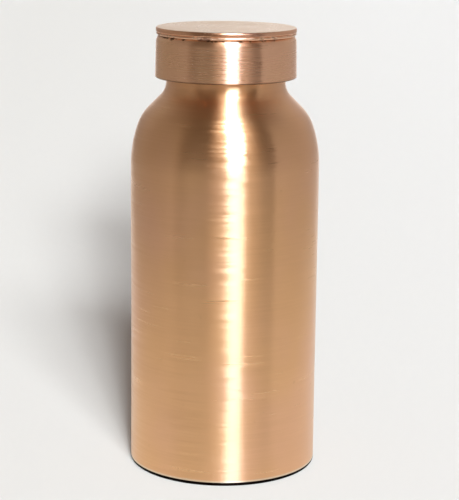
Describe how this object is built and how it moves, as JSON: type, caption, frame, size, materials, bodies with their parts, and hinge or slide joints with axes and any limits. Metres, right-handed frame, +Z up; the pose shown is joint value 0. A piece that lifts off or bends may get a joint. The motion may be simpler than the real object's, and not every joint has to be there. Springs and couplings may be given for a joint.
{
  "type": "copper water bottle",
  "caption": "Cylindrical brushed copper water bottle with a rounded shoulder, a short wide neck and a drum-shaped screw lid that unscrews and lifts clear of the mouth.",
  "frame": {"origin": "centre of the foot, on the surface the bottle stands on", "axes": "+Z up along the bottle's axis; the part is round, so +X and +Y are only where the thread starts"},
  "size_m": [0.085, 0.085, 0.2],
  "materials": {
    "brushed_copper": "copper sheet, brushed round the axis, clear lacquer",
    "inner_copper": "plain turned or spun copper, unlacquered",
    "braze_metal": "silver-copper braze filler, slightly stained",
    "silicone": "food-grade silicone, matt white"
  },
  "bodies": {
    "bottle": {"bottle_wall": "brushed_copper", "base_pan": "inner_copper", "base_braze": "braze_metal", "neck_collar": "inner_copper", "collar_braze": "braze_metal"},
    "seal": {"lid_gasket": "silicone"},
    "lid": {"lid_drum": "brushed_copper", "lid_disc": "brushed_copper", "lid_braze": "braze_metal", "lid_liner": "inner_copper", "lid_ring": "inner_copper"}
  },
  "joints": [
    {"name": "lid_rise", "type": "slide", "parent": "bottle", "child": "seal", "axis": [0, 0, 1], "range_m": [0, 0.02]},
    {"name": "lid_turn", "type": "hinge", "parent": "seal", "child": "lid", "pos_m": [0, 0, 0.19], "axis": [0, 0, 1], "range_deg": [0, 1800]}
  ],
  "couplings": [
    {"joint": "lid_rise", "follows": "lid_turn", "m_per_rad": 0.0006366}
  ]
}
